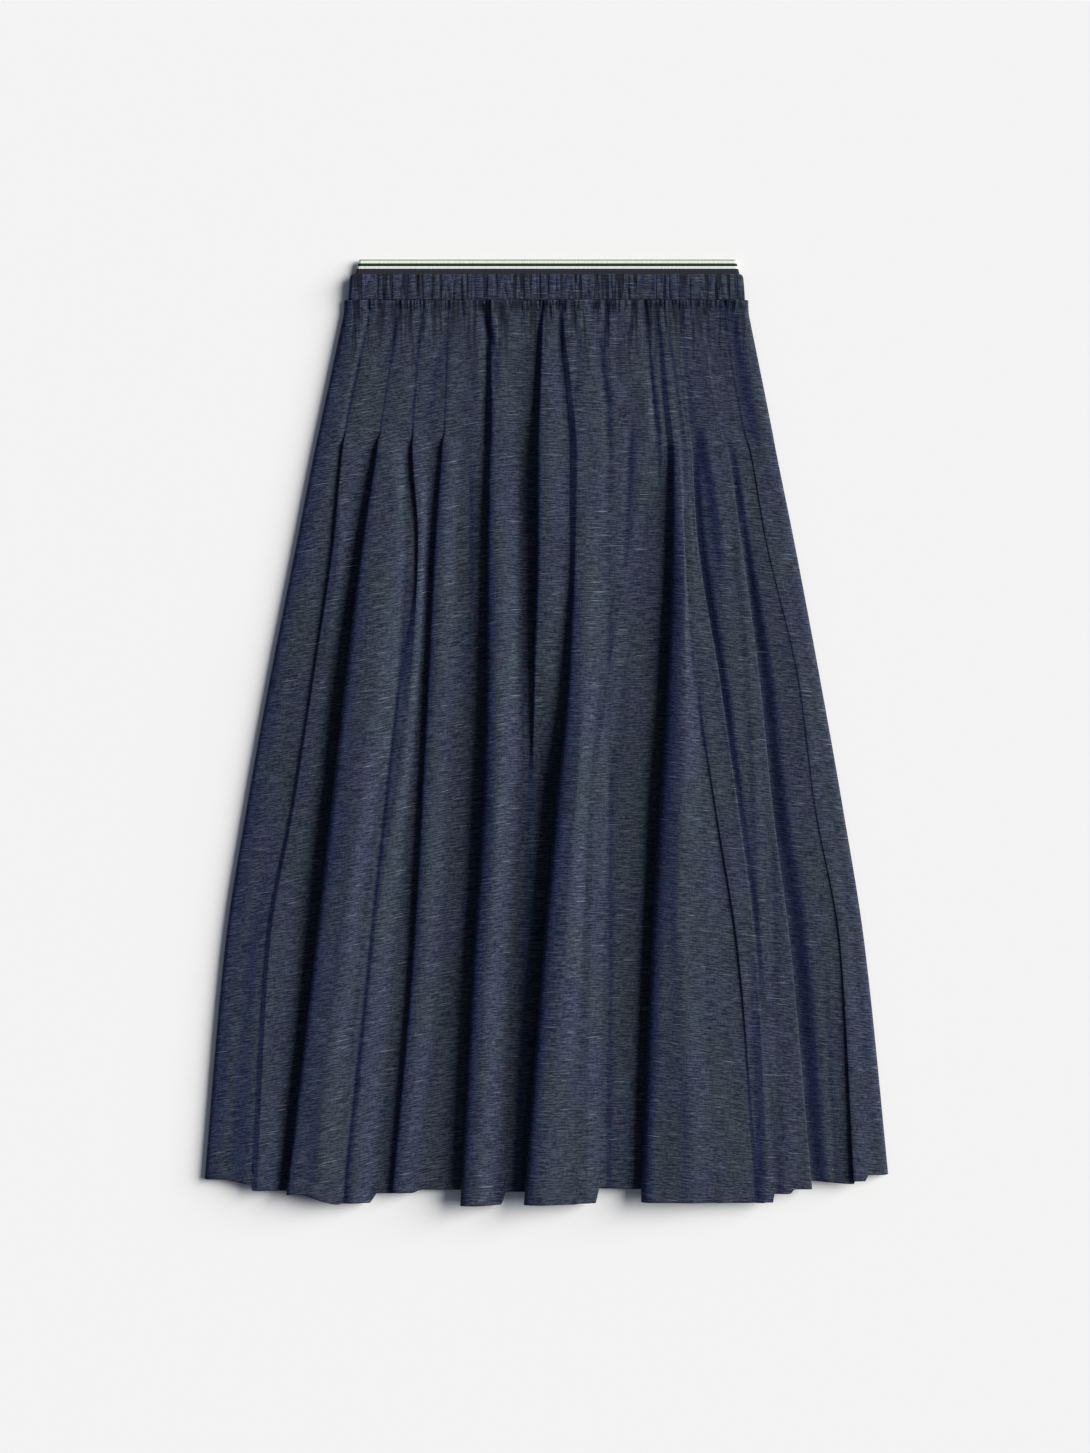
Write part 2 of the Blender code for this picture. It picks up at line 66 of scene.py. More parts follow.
# The side seams at LEVELS, measured from the centre front
LEFT_SIDE = (-171.8, -193.5, -196.5, -211.6, -235.0, -253.8, -272.6, -290.0)
RIGHT_SIDE = (169.6, 190.1, 192.7, 208.2, 230.6, 249.0, 268.1, 288.0)
SIDE_DROP = (-2.0, -6.2)  # of the hem, at the left and the right seam
SIDE_EDGE = 2.2  # height of the middle of the back's cloth at the side seams, which it curves up to
SIDE_ROLL = (16.0, 8.0)  # width over which the front leaves its left and its right seam
SIDE_NOSE = 2.0  # width of the rounded edge itself
SIDE_QUICK = 0.5  # the share of the rise that this edge takes
SIDE_HIGH = (7.4, 8.8)  # of the cloth beside the left and the right seam
BACK_ROLL = 9.0  # width over which the back curves up to its seams
FRONT_SEAM = SIDE_EDGE + WALL + SEAM_GAP
LEVEL_CLOTH = (6,) * len(LEVELS)  # the front where it lies level on the back

# One row for each fold of the front, from left to right as the camera sees it.
# opens: the side that the fold's edge faces. x: its edge at LEVELS.
# low, high: the height of the middle of the cloth below and on the fold.
# under: how far the cloth is tucked under the edge, below zero where the fold is an open slope.
# nose: the share of the fold's height that its rounded edge takes. broad: how much wider than high that is.
# fall: the shares of the way to the next fold between which the cloth comes back down.
# hem: the hem's drop below HEM_LEVEL, below and on the fold.
# step: the place on the way to the next fold, from 0 to 1, where the hem steps back up.
FRONT_FOLDS = (
    dict(name="left_1", opens="left", nose=0.5, broad=1.5, fall=(0, 1), hem=(1.8, 7), step=0.5,
         x=(-149.1, -170.8, -173.4, -180.8, -198.2, -214.2, -235.0, -246.0),
         low=(6, 6, 6.3, 7, 7.8, 8.4, 9.2, 9.8),
         high=(6.4, 6.6, 9.2, 9.8, 10.3, 10.7, 11.2, 11.6),
         under=(-1.5, -1, 1.5, 1.5, -1.5, -2.5, -3.5, -4.5)),
    dict(name="left_2", opens="left", nose=0.38, broad=5.5, fall=(0.3, 1), hem=(7.4, 9.9), step=0.5,
         x=(-126.3, -142.5, -144.2, -155.9, -170.3, -182.0, -195.6, -220.5),
         low=LEVEL_CLOTH,
         high=(6.4, 6.6, 10.5, 15, 20, 20.5, 19, 15.5),
         under=(-1.5, -1, 2, 6, 8, 8, 7, 6)),
    dict(name="left_3", opens="left", nose=0.4, broad=1, fall=(0, 0.58), hem=(18.3, 17.5), step=0.5,
         x=(-105.6, -113.8, -114.4, -109.5, -116.0, -129.5, -147.0, -167.5),
         low=(6, 6, 6, 9.8, 12, 13, 13, 12),
         high=(6.4, 6.6, 9.5, 12.5, 13.4, 14, 14, 13.2),
         under=(-1.5, -1, 2, 1, -8, -11, -10, -9)),
    dict(name="left_4", opens="left", nose=0.5, broad=4.6, fall=(0, 0.4), hem=(9.6, 9), step=0.28,
         x=(-84.1, -88.0, -89.3, -95.1, -100.9, -106.4, -113.2, -131.5),
         low=LEVEL_CLOTH,
         high=(6.4, 6.6, 10, 11.4, 11.8, 11.8, 11.6, 10.8),
         under=(-1.5, -1, 2, 5, 6, 6, 6, 5)),
    dict(name="gather_1", opens="left", nose=0.7, broad=2.4, fall=(0, 0.76), hem=(6.6, 19.2), step=0.75,
         x=(-48.6, -48.4, -49.0, -50.6, -51.5, -54.5, -61.9, -73.5),
         low=LEVEL_CLOTH,
         high=(8, 11, 12, 14.5, 17.5, 19, 19, 18),
         under=(-4, -3, -2, 1, 4, 5, 5, 4)),
    dict(name="gather_2", opens="left", nose=0.5, broad=1.5, fall=(0.2, 1), hem=(8.3, 8.3), step=0.5,
         x=(-4.2, -8.3, -8.8, -8.8, -11.6, -13.0, -17.3, -25.0),
         low=LEVEL_CLOTH,
         high=(8, 14, 15.5, 16, 11.5, 6.8, 6.6, 6.6),
         under=(-3, 2, 2.5, 3, 1, -4, -4, -3)),
    dict(name="gather_3", opens="left", nose=0.6, broad=3, fall=(0, 1), hem=(8.3, 18.2), step=0.79,
         x=(11.4, 22.4, 23.2, 22.4, 17.7, 7.1, -3.3, -20.0),
         low=(7.5, 10, 11.3, 13, 9, 6, 6, 6),
         high=(9, 13.5, 14.5, 16, 19.5, 23.5, 24.5, 20.5),
         under=(-3, -5, -5, -4, 1, 5, 6, 5)),
    dict(name="right_4", opens="right", nose=0.5, broad=1, fall=(0, 0.8), hem=(5, 17.5), step=0.5,
         x=(81.5, 86.0, 84.0, 71.5, 52.0, 40.0, 37.0, 34.0),
         low=(6, 7, 7, 6.8, 7.5, 8.2, 8.2, 7.6),
         high=(7.5, 8.5, 8.3, 8.9, 11.5, 13, 13, 12),
         under=(-2, -4, -5, -8, -10, -10, -9, -9)),
    dict(name="gather_4", opens="left", nose=0.92, broad=2, fall=(0.1, 1), hem=(6, 16.3), step=0.5,
         x=(94.2, 103.9, 105.2, 105.1, 101.0, 94.5, 87.7, 79.4),
         low=LEVEL_CLOTH,
         high=(6.9, 8.5, 10, 15.5, 19.5, 21, 20, 18),
         under=(-2, -4, -4, -2, 1, 2, 1, 0)),
    dict(name="right_3_ridge", opens="left", nose=0.4, broad=1.5, fall=(0, 1), hem=(17, 17), step=0.5,
         x=(101.4, 114.9, 117.0, 119.5, 126.5, 141.0, 160.0, 178.0),
         low=(6.5, 7.3, 8.3, 12.5, 14.4, 12.8, 11.4, 11.2),
         high=(6.9, 7.5, 8.4, 12.6, 14.7, 13.8, 12.8, 11.9),
         under=(-1, -1.5, -2, -3, -2, -0.5, -0.5, -3)),
    dict(name="right_3", opens="right", nose=0.5, broad=1, fall=(0, 1), hem=(9.5, 16.6), step=0.5,
         x=(108.6, 119.5, 121.2, 126.3, 145.0, 159.5, 174.6, 188.0),
         low=(6, 6, 6.2, 6.6, 8.5, 10.3, 10.8, 10.6),
         high=(6.4, 6.6, 8.2, 11.2, 12.5, 12, 11.5, 11),
         under=(-1.5, -1, -0.5, 1, 1, -0.5, -1, -3)),
    dict(name="right_2", opens="right", nose=0.5, broad=1, fall=(0.78, 1), hem=(-1, 5.6), step=0.5,
         x=(129.7, 146.6, 151.5, 163.0, 179.0, 189.5, 204.8, 223.1),
         low=LEVEL_CLOTH,
         high=(6.4, 6.6, 8.5, 10, 11, 12, 12, 11.5),
         under=(-1.5, -1, 1, 2, 3, 4, 4, 2)),
    dict(name="right_1", opens="left", nose=0.4, broad=1, fall=(0, 1), hem=(1.4, -1.2), step=0.5,
         x=(149.1, 166.8, 171.0, 184.4, 212.0, 225.5, 247.0, 258.2),
         low=(6, 6, 7.4, 9.1, 10.2, 10.6, 10.8, 9.6),
         high=(6.4, 6.6, 8.3, 9.7, 10.7, 11.2, 12, 13),
         under=(-1.5, -1, -0.5, 0, -0.5, -0.5, -0.5, 1)),
)
VALLEY_FALL = (0.6, 1.0)  # between two folds that open toward each other

# The back's folds are pressed flat under the front, with their edges on the surface, alike on both sides.
# One row for each, from the side seam to the middle. x: its edge at LEVELS. under: how far it is tucked.
BACK_OUTER = WALL / 2
BACK_INNER = BACK_OUTER + 2.1
PLEAT_UNDER = (8, 9, 9, 9, 10, 11, 12, 14)
BACK_HALF = (
    dict(name="pleat_1", x=(148, 168, 169.7, 179, 193, 208, 224, 240), under=PLEAT_UNDER),
    dict(name="pleat_2", x=(126, 142, 143.5, 152, 165, 178, 191, 203), under=PLEAT_UNDER),
    dict(name="pleat_3", x=(104, 115, 115.9, 121, 132, 142, 151, 160), under=PLEAT_UNDER),
    dict(name="pleat_4", x=(82, 89, 89.6, 93, 100, 106, 112, 118), under=PLEAT_UNDER),
    dict(name="centre", x=(38, 41, 41.3, 43, 46, 49, 52, 55), under=(6, 7, 7.3, 9, 12, 14, 15, 18)),
)
BACK_HEM_DROP = 6.0
BACK_CORNER_DROP = -1.0  # beside the right seam, where the back doesn't show below the front

# The elastic and the casing
BACK_CASING_WALL = 2.0
ELASTIC_WALL = 1.6
ELASTIC_LOW = BACK_CASING_WALL + SEAM_GAP
ELASTIC_HIGH = ELASTIC_LOW + 2 * ELASTIC_WALL + SEAM_GAP
CASING_LEFT = (-167.0, -168.5)  # at its top and at the waist seam
CASING_RIGHT = (165.4, 166.8)
CASING_LOW = ELASTIC_HIGH + SEAM_GAP
ELASTIC_NAVY = (0.020, 0.018, 0.030, 1)
# Where each stripe of the elastic starts, going up, and its colour
ELASTIC_STRIPES = (
    (392.4, (0.78, 0.82, 0.76, 1)),
    (394.4, (0.010, 0.030, 0.014, 1)),
    (396.9, (0.80, 0.84, 0.78, 1)),
    (399.2, (0.16, 0.20, 0.11, 1)),
)
STRIPE_SOFT = 0.15  # half the width over which one stripe passes into the next
RIB_SHADE = (0.90, 0.90, 0.90, 1)  # what the ribs multiply it by

# Camera and light, in metres
CAMERA_HEIGHT = 3.01
CAMERA_PLACE = (-0.0022, 0.0051)
LENS_MM = 88.0
SENSOR_MM = 36.0
FLOOR_SIZE = 12.0
SUN_FROM = (0.86, 0.22, 0.45)  # the direction that the main light comes from
SUN_STRENGTH = 6.5
SUN_COLOUR = (1.0, 0.981, 0.945)
SUN_SPREAD = math.radians(42)
SKY_STRENGTH = 0.13
SKY_COLOUR = (0.84, 0.95, 1.22, 1)
FLOOR_COLOUR = (0.86, 0.86, 0.86, 1.0)


def ease(share):
    """A share from 0 to 1, slow at both ends."""
    share = min(max(share, 0.0), 1.0)
    return share * share * (3 - 2 * share)


def mix(first, second, share):
    return first + (second - first) * share


def bell(distance, half):
    """1 in the middle, and falling off smoothly past this half width."""
    return math.exp(-(distance / half) ** 2)


def curve(heights, values, y):
    """The value at height y on a smooth curve through these values, which doesn't overshoot them."""
    if y >= heights[0]:
        return values[0]
    if y <= heights[-1]:
        return values[-1]
    last = len(heights) - 1
    step = next(i for i in range(last) if y >= heights[i + 1])

    def rise(i):
        return (values[i + 1] - values[i]) / (heights[i + 1] - heights[i])

    def slope(i):
        before = rise(max(i - 1, 0))
        after = rise(min(i, last - 1))
        if before * after <= 0:
            return 0.0
        return 2 * before * after / (before + after)

    width = heights[step + 1] - heights[step]
    t = (y - heights[step]) / width
    return (values[step] * (1 + 2 * t) * (1 - t) ** 2
            + values[step + 1] * t * t * (3 - 2 * t)
            + slope(step) * width * t * (1 - t) ** 2
            - slope(step + 1) * width * t * t * (1 - t))


def at_level(values, y):
    """The value at height y of a column given at LEVELS."""
    return curve(LEVELS, values, y)


# ---- The folds' sections, as in the CAD, with more points ----

ARC_STEPS = 16  # of the fine curve that a fold's points are read from
FOLD_POINTS = 13  # along a fold
TURN_WEIGHT = 2.5  # millimetres of cloth that count the same as a turn of one radian
SPAN_STEP = 2.5  # between the points of the cloth from one fold to the next
SIDE_SHARES = (0.0, 0.06, 0.14, 0.25, 0.4, 0.6, 0.8, 1.0)
SPAN_LEAST = 5  # steps from one fold to the next
SPAN_CLEAR = 0.6  # the least room between a fold and the slope beside it
BEND = 0.49  # a bend's radius for its share of the fold's height: a full turn takes twice its radius
HEM_LEAP = 3  # how many times sooner than the fold has risen its hem has dropped
HEM_STEP = 0.12  # the share of the way between two folds over which the hem steps back up
FLATTEST = math.radians(1)  # the least lean of a fold's middle run
LEAN_STEPS = 40  # halvings of the search for that lean


def tuck(angle, height, radii):
    """How far a fold whose middle run leans at this angle is tucked under, and that run's length."""
    run = (height - radii * (1 - math.cos(angle))) / math.sin(angle)
    return radii * (1 - math.sin(angle)) - run * math.cos(angle), run


def lean(height, radii, under):
    """The angle of the middle run that gives a fold this tuck."""
    flat = FLATTEST
    steep = math.acos(max(1 - height / radii, -0.999999))
    for _ in range(LEAN_STEPS):
        angle = (flat + steep) / 2
        if tuck(angle, height, radii)[0] < under:
            flat = angle
        else:
            steep = angle
    return angle


def s_curve(height, inner, nose, broad, under):
    """Fine points (x, z, direction) of a fold from its lower cloth, over its edge at x = 0, and up."""
    angle = lean(height, inner + nose, under)
    run = max(tuck(angle, height, inner + nose)[1], 0.0)
    points = []
    for i in range(ARC_STEPS + 1):
        a = angle * i / ARC_STEPS
        points.append((inner * math.sin(a), inner * (1 - math.cos(a)), a))
    x = points[-1][0] + run * math.cos(angle)
    z = points[-1][1] + run * math.sin(angle)
    turned = angle
    for i in range(ARC_STEPS + 1):
        a = angle * (1 - i / ARC_STEPS)
        wide = nose * (1 if turned > math.pi / 2 else broad)
        x += wide * (math.sin(turned) - math.sin(a))
        z += nose * (math.cos(a) - math.cos(turned))
        points.append((x, z, a))
        turned = a
    shift = nose * broad - points[-1][0]
    return [(x + shift, z, a) for x, z, a in points]


def spread(points, count):
    """This many points read from a fine curve, closer together where it turns."""
    reach = [0.0]
    for (x0, z0, a0), (x1, z1, a1) in zip(points, points[1:]):
        reach.append(reach[-1] + math.hypot(x1 - x0, z1 - z0) + TURN_WEIGHT * abs(a1 - a0))
    chosen = []
    i = 0
    for k in range(count):
        goal = reach[-1] * k / (count - 1)
        while i < len(points) - 2 and reach[i + 1] < goal:
            i += 1
        share = (goal - reach[i]) / max(reach[i + 1] - reach[i], 1e-9)
        chosen.append(tuple(mix(a, b, share) for a, b in zip(points[i], points[i + 1])))
    return chosen


def fold_points(fold, y, drop):
    """Points (x, z, hem drop, looseness) of the cloth across one fold at height y, left to right."""
    low = at_level(fold["low"], y)
    high = at_level(fold["high"], y)
    height = abs(high - low)
    up = math.copysign(1, high - low)
    nose = max(BEND * height * fold["nose"], MIN_RADIUS)
    inner = max(BEND * height * (1 - fold["nose"]), MIN_RADIUS)
    points = []
    edge = at_level(fold["x"], y)
    side = 1 if fold["opens"] == "left" else -1
    curved = s_curve(height, inner, nose, fold["broad"], at_level(fold["under"], y))
    for x, z, _ in spread(curved, FOLD_POINTS):
        share = z / height
        points.append((edge + side * x, low + up * z, mix(*drop, ease(share * HEM_LEAP)), 1.0))
    return points if side > 0 else points[::-1]


def cleared(fold, y, ahead):
    """The x up to which the cloth beside a fold keeps its height, on the side ahead or behind."""
    edge = at_level(fold["x"], y)
    reach = max(at_level(fold["under"], y), 0.0) + HOLD
    if ahead:
        return edge + (reach if fold["opens"] == "left" else HOLD)
    return edge - (HOLD if fold["opens"] == "left" else reach)


def span_points(start, end, x_start, x_end, fall, step, count):
    """Points between two folds: level up to x_start and from x_end, with a slope between them."""
    x_start = max(x_start, start[0] + SPAN_CLEAR)
    x_end = min(x_end, end[0] - SPAN_CLEAR)
    if start[1] > end[1]:
        x_start, x_end = mix(x_start, x_end, fall[0]), mix(x_start, x_end, fall[1])
    else:
        x_start, x_end = mix(x_end, x_start, fall[1]), mix(x_end, x_start, fall[0])
    points = []
    for k in range(1, count):
        along = k / count
        x = mix(start[0], end[0], along)
        z = mix(start[1], end[1], ease((x - x_start) / (x_end - x_start)))
        late = ease(along)
        if end[2] < start[2]:
            late = ease((along - step) / HEM_STEP + 0.5)
        points.append((x, z, mix(start[2], end[2], late), 1.0))
    return points


def side_points(side, z_seam, z_inner, roll, drop):
    """Points from a side seam to the level of the cloth beside it, from left to right."""
    toward = -math.copysign(1, side)
    points = []
    for share in SIDE_SHARES:
        quick = math.sin(min(share * roll / SIDE_NOSE, 1.0) * math.pi / 2)
        z = z_seam + (z_inner - z_seam) * mix(math.sin(share * math.pi / 2), quick, SIDE_QUICK)
        points.append((side + toward * share * roll, z, drop, ease(share)))
    return points if toward > 0 else points[::-1]


def span_counts(folds):
    """How many steps each stretch between two folds takes: enough for its greatest width."""
    counts = []
    for k in range(len(folds) + 1):
        widths = []
        for y in LEVELS:
            left = at_level(LEFT_SIDE, y) + SIDE_ROLL[0]
            right = at_level(RIGHT_SIDE, y) - SIDE_ROLL[1]
            if k > 0:
                left = at_level(folds[k - 1]["x"], y)
            if k < len(folds):
                right = at_level(folds[k]["x"], y)
            widths.append(right - left)
        counts.append(max(SPAN_LEAST, round(max(widths) / SPAN_STEP)))
    return counts


def section(folds, counts, y, z_seam, z_inner, rolls):
    """Points (x, z, hem drop, looseness) of a panel's middle at height y, from seam to seam."""
    pieces = [fold_points(fold, y, fold["hem"]) for fold in folds]
    points = side_points(at_level(LEFT_SIDE, y), z_seam, z_inner[0], rolls[0], SIDE_DROP[0])
    start_x = points[-1][0] + SPAN_CLEAR
    step = 0.5
    for i, (fold, piece) in enumerate(zip(folds, pieces)):
        before = folds[i - 1] if i else dict(opens="left", fall=(0, 1))
        fall = fold["fall"]
        if fold["opens"] == "left":
            fall = before["fall"] if before["opens"] == "left" else VALLEY_FALL
        end_x = cleared(fold, y, ahead=False)
        points += span_points(points[-1], piece[0], start_x, end_x, fall, step, counts[i])
        points += piece
        start_x = cleared(fold, y, ahead=True)
        step = fold["step"]
    right = side_points(at_level(RIGHT_SIDE, y), z_seam, z_inner[1], rolls[1], SIDE_DROP[1])
    end_x = right[0][0] - SPAN_CLEAR
    points += span_points(points[-1], right[0], start_x, end_x, (0, 1), step, counts[-1])
    return points + right


# ---- Creases and gathers too small for the CAD ----

# One row for each soft crease. y, x: its path, from the waist end down. half, depth: its half width and
# its depth at either end. A positive depth is a ridge and a negative one a trough.
CREASES = (
    dict(name="feeder_e_left", y=(355, 340, 323, 294), x=(-55.3, -50.3, -46.0, -46.0),
         half=(2.4, 3.4), depth=(-1.9, -0.8)),
    dict(name="valley_e", y=(338, 310, 280, 250), x=(-50.0, -51.5, -52.0, -52.5),
         half=(3.0, 3.6), depth=(-1.8, -2.2)),
    dict(name="feeder_e_right", y=(355, 340, 323, 298), x=(-41.0, -38.9, -41.8, -44.4),
         half=(1.8, 2.8), depth=(-1.4, -0.5)),
    dict(name="feeder_f_left", y=(359, 347, 335), x=(-21.5, -23.2, -24.9),
         half=(1.4, 2.2), depth=(-1.5, -0.4)),
    dict(name="feeder_f", y=(359, 332, 281), x=(-4.2, -7.6, -9.7), half=(1.6, 2.4), depth=(-1.6, -0.8)),
    dict(name="feeder_f_right", y=(359, 342), x=(1.7, 3.0), half=(1.4, 1.8), depth=(-1.4, -0.4)),
    dict(name="feeder_g_left", y=(358, 327, 281), x=(11.4, 10.1, 10.6),
         half=(2.4, 3.6), depth=(-1.5, -0.5)),
    dict(name="feeder_g_right", y=(355, 327, 281), x=(21.5, 24.9, 22.4),
         half=(1.8, 3.2), depth=(-1.0, -0.8)),
    dict(name="feeder_ridge", y=(359, 340), x=(37.6, 36.7), half=(1.4, 2.0), depth=(-1.2, -0.3)),
    dict(name="feeder_long", y=(357, 343, 326, 302, 276, 196), x=(49.4, 46.5, 43.5, 46.0, 49.4, 50.3),
         half=(2.6, 4.0), depth=(-2.4, -1.5)),
    dict(name="feeder_faint", y=(344, 302), x=(60.4, 59.6), half=(3.0, 4.0), depth=(-0.6, -0.4)),
    dict(name="feeder_d", y=(359, 315, 281, 239, 180), x=(81.5, 84.1, 88.3, 92.5, 94.2),
         half=(2.6, 4.2), depth=(-2.2, -1.0)),
    dict(name="centre_dip", y=(247, 146), x=(68.9, 64.5), half=(3.0, 4.0), depth=(-1.4, -1.0)),
    dict(name="pleat_shade_1", y=(347, 323, 302, 281), x=(-128.8, -135.6, -145.7, -151.6),
         half=(2.8, 4.2), depth=(-0.8, -0.3)),
    dict(name="pleat_shade_2", y=(340, 315), x=(-108.6, -113.6), half=(2.4, 3.0), depth=(-0.7, -0.2)),
    dict(name="pleat_shade_3", y=(333, 306, 277), x=(-88.3, -96.7, -102.6),
         half=(3.0, 4.0), depth=(-0.8, -0.3)),
    dict(name="pleat_shade_4", y=(340, 315, 281), x=(-69.7, -66.3, -63.8),
         half=(4.0, 5.0), depth=(-0.6, -0.4)),
    dict(name="wedge_right", y=(247, 222, 192, 158), x=(126.3, 130.5, 133.9, 136.4),
         half=(3.2, 5.0), depth=(-1.4, -0.5)),
    dict(name="left_1_crest", y=(146, 112, 27, -57, -142, -226, -380),
         x=(-175.3, -180.4, -191.8, -205.3, -215.8, -225.1, -235.3),
         half=(3.6, 4.6), depth=(1.1, 0.5)),
    dict(name="left_3_foot", y=(146, 78, 27, -57, -142, -226, -310, -380),
         x=(-120.7, -124.9, -128.8, -137.6, -147.0, -155.4, -164.6, -172.2),
         half=(2.2, 2.6), depth=(-1.0, -1.2)),
    dict(name="left_2_top", y=(213, 163, 112, 60), x=(-120.4, -121.2, -122.9, -124.6),
         half=(4.5, 4.5), depth=(-1.0, -0.8)),
    dict(name="left_2_arch", y=(78, -57, -142, -226, -380), x=(-146.6, -158.4, -166.0, -175.3, -188.8),
         half=(11.0, 13.0), depth=(0.4, 1.8)),
    dict(name="left_4_arch", y=(78, -57, -142, -226, -380), x=(-81.0, -92.1, -99.9, -106.6, -118.5),
         half=(8.0, 10.0), depth=(0.4, 0.6)),
    dict(name="lobe_e_arch", y=(146, 27, -142, -380), x=(-37.5, -41.5, -44.5, -50.4),
         half=(6.0, 8.0), depth=(0.5, 0.5)),
    dict(name="lobe_e_shoulder", y=(213, 112, 11), x=(-22.8, -24.1, -24.9),
         half=(3.4, 4.0), depth=(-1.8, -1.4)),
    dict(name="lobe_g_arch", y=(95, -57, -380), x=(35.9, 30.8, 22.4), half=(8.0, 12.0), depth=(0.8, 1.8)),
    dict(name="centre_crease", y=(112, 27, -142, -380), x=(50.5, 51.1, 51.1, 49.0),
         half=(3.0, 3.6), depth=(-0.7, -1.2)),
    dict(name="lobe_h_crest", y=(112, 27, -57, -142, -226, -310, -380),
         x=(116.2, 113.6, 112.8, 110.5, 116.0, 120.4, 122.0), half=(6.0, 8.0), depth=(0.8, 2.0)),
    dict(name="lobe_h_dip", y=(61, -57, -142, -226, -380), x=(127.1, 129.7, 130.5, 133.1, 140.7),
         half=(2.6, 3.4), depth=(-0.6, -0.6)),
    dict(name="right_3_crest", y=(146, 112, 27, -57, -142, -380),
         x=(162.6, 166.0, 171.9, 176.1, 178.7, 184.6),
         half=(3.6, 4.6), depth=(1.3, 1.1)),
    dict(name="right_3_slope", y=(230, 196, 112, 27, -57, -142, -226, -380),
         x=(137.0, 144.0, 149.0, 156.0, 162.0, 168.0, 176.0, 190.0), half=(14.0, 14.0), depth=(1.4, 1.4)),
    dict(name="right_3_top", y=(247, 196, 146), x=(134.7, 144.0, 149.1),
         half=(3.4, 4.2), depth=(0.8, 1.3)),
    dict(name="left_4_dip", y=(213, 112), x=(-66.3, -66.3), half=(2.4, 2.8), depth=(-1.0, -1.0)),
    dict(name="right_3_dip", y=(-184, -380), x=(168.5, 176.0), half=(3.0, 5.0), depth=(-0.7, -1.1)),
    dict(name="right_2_dip", y=(-40, -142, -380), x=(188.8, 189.7, 194.7),
         half=(3.0, 4.0), depth=(-0.5, -0.6)),
    dict(name="right_1_strip", y=(-209, -380), x=(233.6, 242.0), half=(1.6, 2.2), depth=(-0.7, -0.9)),
    dict(name="lobe_h_soft", y=(-142, -380), x=(149.1, 160.1), half=(8.0, 12.0), depth=(0.6, 1.2)),
)
CREASE_FADE = 0.18  # the share of a crease's length over which it fades at either end

BELL_END = 3  # half widths from its middle where a bell counts as nothing

GATHERS = 46  # along the waist seam
GATHER_REACH = (8.0, 24.0)  # the shortest one's half length, and how much longer the longest one's is
GATHER_DEPTH = 0.9
GATHER_HALF = 0.22  # of a gather's pitch
FINE_GATHERS = 104  # the small puckers that the seam's own thread draws up
FINE_DEPTH = 0.42
SEAM_BAND = 7.0  # how far below the waist seam the cloth is drawn up
SEAM_ROLL = 1.6  # how far from a stitched seam the cloth curves down to it
SEAM_DIP = 0.9
SEAM_RISE = 1.6  # of the cloth toward the casing, which lies higher
HEM_TURN = 11.5  # width of the hem's turn-up
HEM_LIFT = 0.4  # of the double cloth there, and depth of the dent along its stitches
HEM_SLOPE = 1.6  # width over which the cloth comes down from it
HEM_DENT = (0.4, 0.8)  # the dent's place above the stitches, and its half width
ROLLS = (0.35, 0.22)  # the heights of the two slow waves of soft cloth
ROLL_MOST = sum(ROLLS)
BACK_ROLLS = 0.4  # the share of them that the pressed back keeps


def crease_depth(crease, x, y):
    """How far one crease lifts the cloth at (x, y)."""
    top, bottom = crease["y"][0], crease["y"][-1]
    along = (top - y) / (top - bottom)
    if along < -CREASE_FADE or along > 1 + CREASE_FADE:
        return 0.0
    share = min(max(along, 0.0), 1.0)
    half = mix(*crease["half"], share)
    away = x - curve(crease["y"], crease["x"], y)
    if abs(away) > BELL_END * half:
        return 0.0
    fade = ease((along + CREASE_FADE) / CREASE_FADE) * ease((1 + CREASE_FADE - along) / CREASE_FADE)
    return mix(*crease["depth"], share) * fade * bell(away, half)


def gather_depth(share, below):
    """The gathers at this share of the way across, this far below the waist seam.

    The sines of their number n make each one's place, slant, length and height a little different.
    """
    lift = 0.0
    if below < BELL_END * sum(GATHER_REACH):
        k = share * GATHERS
        for n in (math.floor(k) - 1, math.floor(k), math.floor(k) + 1):
            centre = n + 0.5 + 0.25 * math.sin(2.1 * n) + 0.012 * below * math.sin(1.3 * n)
            reach = GATHER_REACH[0] + GATHER_REACH[1] * (0.5 + 0.5 * math.sin(3.7 * n + 0.6)) ** 2
            height = GATHER_DEPTH * (0.6 + 0.4 * math.sin(1.9 * n + 2))
            lift += height * bell(k - centre, GATHER_HALF) * bell(below, reach)
    if below < BELL_END * SEAM_BAND:
        k = share * FINE_GATHERS + 0.6 * math.sin(37 * share)
        lift += FINE_DEPTH * math.sin(2 * math.pi * k) * bell(below, SEAM_BAND)
    return lift


def roll_depth(x, y):
    """The slow unevenness of soft cloth, up to ROLL_MOST either way."""
    return (ROLLS[0] * math.sin(0.083 * x + 0.011 * y + 1.3) * math.sin(0.017 * y + 0.6)
            + ROLLS[1] * math.sin(0.19 * x - 0.023 * y) * math.sin(0.031 * y + 1.1 + 0.02 * x))


def front_finish(x, y, level, share, loose):
    """The lift of the front's cloth at (x, y), where level is y before the hem's drop."""
    below = WAIST_SEAM - y
    lift = gather_depth(share, below) + roll_depth(x, y)
    for crease in CREASES:
        lift += crease_depth(crease, x, y)
    lift += SEAM_RISE * (1 - ease(below / SEAM_BAND)) - SEAM_DIP * bell(below, SEAM_ROLL)
    over_hem = level - HEM_LEVEL - HEM_TURN
    lift += HEM_LIFT * (ease(0.5 - over_hem / HEM_SLOPE) - bell(over_hem - HEM_DENT[0], HEM_DENT[1]))
    return lift * loose


def back_finish(x, y, level, share, loose):
    """The back lies pressed on the surface, so only the cloth between its folds is uneven."""
    return BACK_ROLLS * (roll_depth(x, y) + ROLL_MOST) * loose


# ---- Meshes ----


